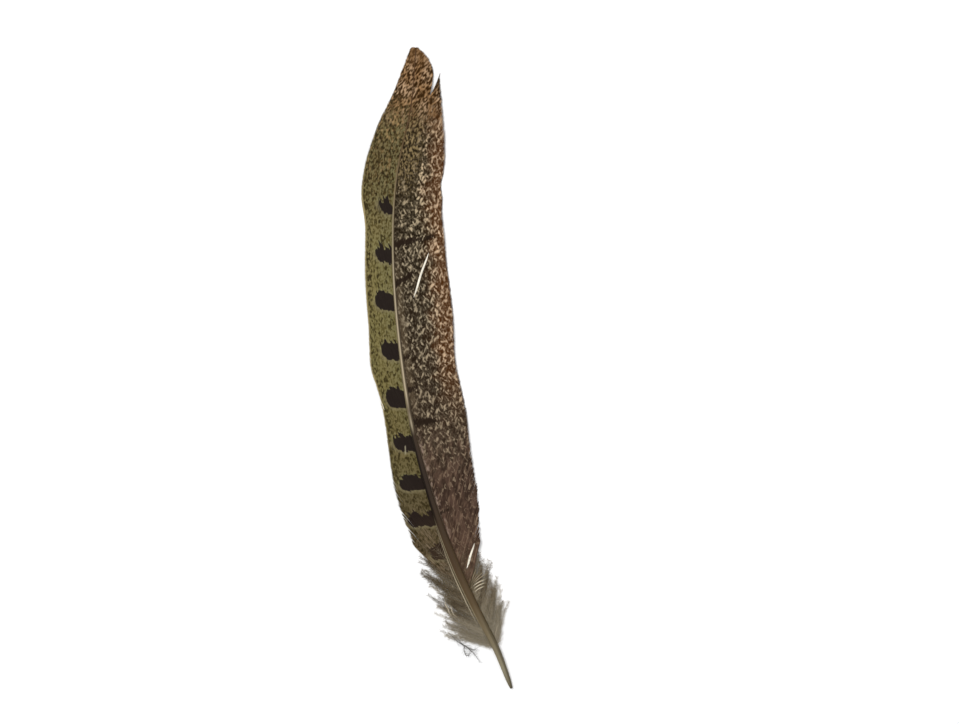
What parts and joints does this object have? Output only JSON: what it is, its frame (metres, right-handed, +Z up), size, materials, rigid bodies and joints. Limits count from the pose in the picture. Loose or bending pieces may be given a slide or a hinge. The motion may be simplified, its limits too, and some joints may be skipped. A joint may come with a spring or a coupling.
{
  "type": "pheasant tail feather",
  "caption": "Curved tail feather with a bare quill, downy base, narrow barred vane and wide mottled vane, lying flat with its upper side up.",
  "frame": {"origin": "on the surface that the feather lies on, under the middle of its extent seen from above", "axes": "+Y from the quill's end to the tip, +Z up out of the feather's upper side, +X to the right of the shaft seen from above with the tip away"},
  "size_m": [0.0348, 0.2006, 0.0039],
  "materials": {
    "quill": "horn, smooth and half glossy, dark brown low down and cream towards the tip",
    "outer_vane": "olive barbs with fine dark specks, a row of black spots and a tan tip",
    "inner_vane": "dark brown barbs with cream squiggles, faint dark bars and a reddish margin",
    "down": "grey-brown down, dull, with pale wisps"
  },
  "bodies": {
    "root": {"shaft": "quill", "outer_vane": "outer_vane", "inner_vane": "inner_vane", "outer_down": "down", "inner_down": "down"}
  },
  "joints": []
}
